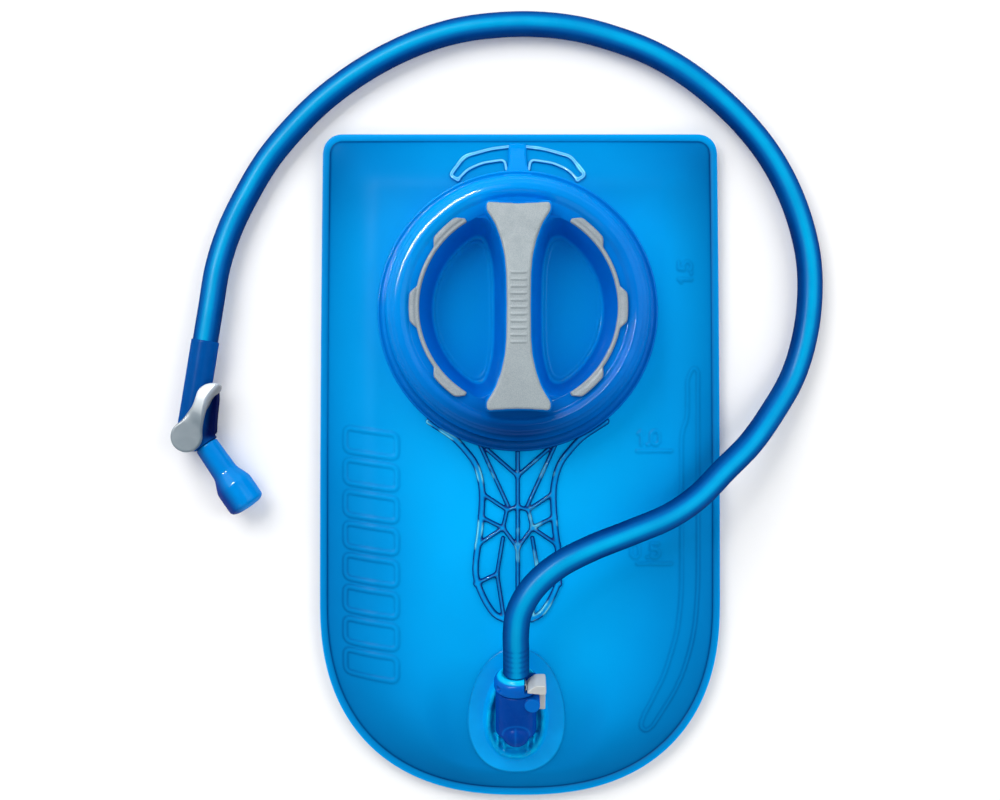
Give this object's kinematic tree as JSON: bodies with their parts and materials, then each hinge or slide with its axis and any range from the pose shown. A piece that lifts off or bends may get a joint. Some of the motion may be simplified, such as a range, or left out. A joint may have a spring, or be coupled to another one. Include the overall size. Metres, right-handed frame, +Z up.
{
  "type": "hydration bladder",
  "caption": "Flat film drinking reservoir with a wide round screw cap, a quick-release outlet, and a drink tube ending in a bite valve with a shut-off lever.",
  "frame": {"origin": "middle of the bag's footprint, on the surface that the bag's back rests on", "axes": "+Y towards the top end of the bag, +Z up out of the cap, +X to the right seen from above"},
  "size_m": [0.3103, 0.3759, 0.0565],
  "materials": {
    "film": "soft translucent blue film",
    "hard_blue": "moulded royal blue plastic",
    "port_blue": "moulded dark blue plastic",
    "clear_blue": "clear blue moulded stiffener",
    "grip_grey": "matt grey soft grip",
    "grey_plastic": "pale grey moulded plastic",
    "tube": "translucent blue flexible tube",
    "bite": "soft blue silicone",
    "valve_blue": "moulded blue plastic",
    "seal": "black seal rubber",
    "spring_steel": "spring wire and leaf"
  },
  "bodies": {
    "bag": {"back_film": "film", "front_film": "film", "fill_collar": "hard_blue", "lattice_tongue": "clear_blue", "arch_left": "clear_blue", "arch_right": "clear_blue", "outlet_flange": "clear_blue", "outlet_port": "port_blue"},
    "poppet": {"outlet_poppet": "grey_plastic", "poppet_spring": "spring_steel"},
    "cap_seal": {"cap_gasket": "seal"},
    "cap": {"cap_shell": "hard_blue", "cap_bridge": "hard_blue", "handle_pad": "grip_grey", "grip_insert_left": "grip_grey", "grip_insert_right": "grip_grey"},
    "hose": {"hose_connector": "port_blue", "connector_oring": "seal", "button_spring": "spring_steel", "drink_tube": "tube", "valve_elbow": "valve_blue", "mouthpiece": "bite"},
    "button": {"release_button": "grey_plastic"},
    "shutoff": {"shutoff_lever": "grey_plastic", "valve_core": "grey_plastic", "core_oring_lower": "seal", "core_oring_upper": "seal"}
  },
  "joints": [
    {"name": "cap_lift", "type": "slide", "parent": "bag", "child": "cap_seal", "axis": [0, 0, 1], "range_m": [0, 0.07]},
    {"name": "cap_turn", "type": "hinge", "parent": "cap_seal", "child": "cap", "pos_m": [-0.0013, 0.0729, 0.04], "axis": [0, 0, 1], "range_deg": [0, 90]},
    {"name": "hose_release", "type": "slide", "parent": "bag", "child": "hose", "axis": [0, 0.9397, 0.342], "range_m": [0, 0.025]},
    {"name": "poppet_close", "type": "slide", "parent": "bag", "child": "poppet", "axis": [0, 0.9397, 0.342], "range_m": [0, 0.0031], "deforming": ["poppet_spring"]},
    {"name": "button_press", "type": "hinge", "parent": "hose", "child": "button", "pos_m": [0.0096, -0.1027, 0.0384], "axis": [0, -0.342, 0.9397], "range_deg": [0, 7], "stiffness_Nm_per_rad": 0.05, "deforming": ["button_spring"]},
    {"name": "lever_turn", "type": "hinge", "parent": "hose", "child": "shutoff", "pos_m": [-0.1577, 0.0137, 0.0095], "axis": [0, 0, -1], "range_deg": [0, 60]}
  ],
  "couplings": [
    {"joint": "poppet_close", "follows": "hose_release", "ratio": 0.124}
  ]
}
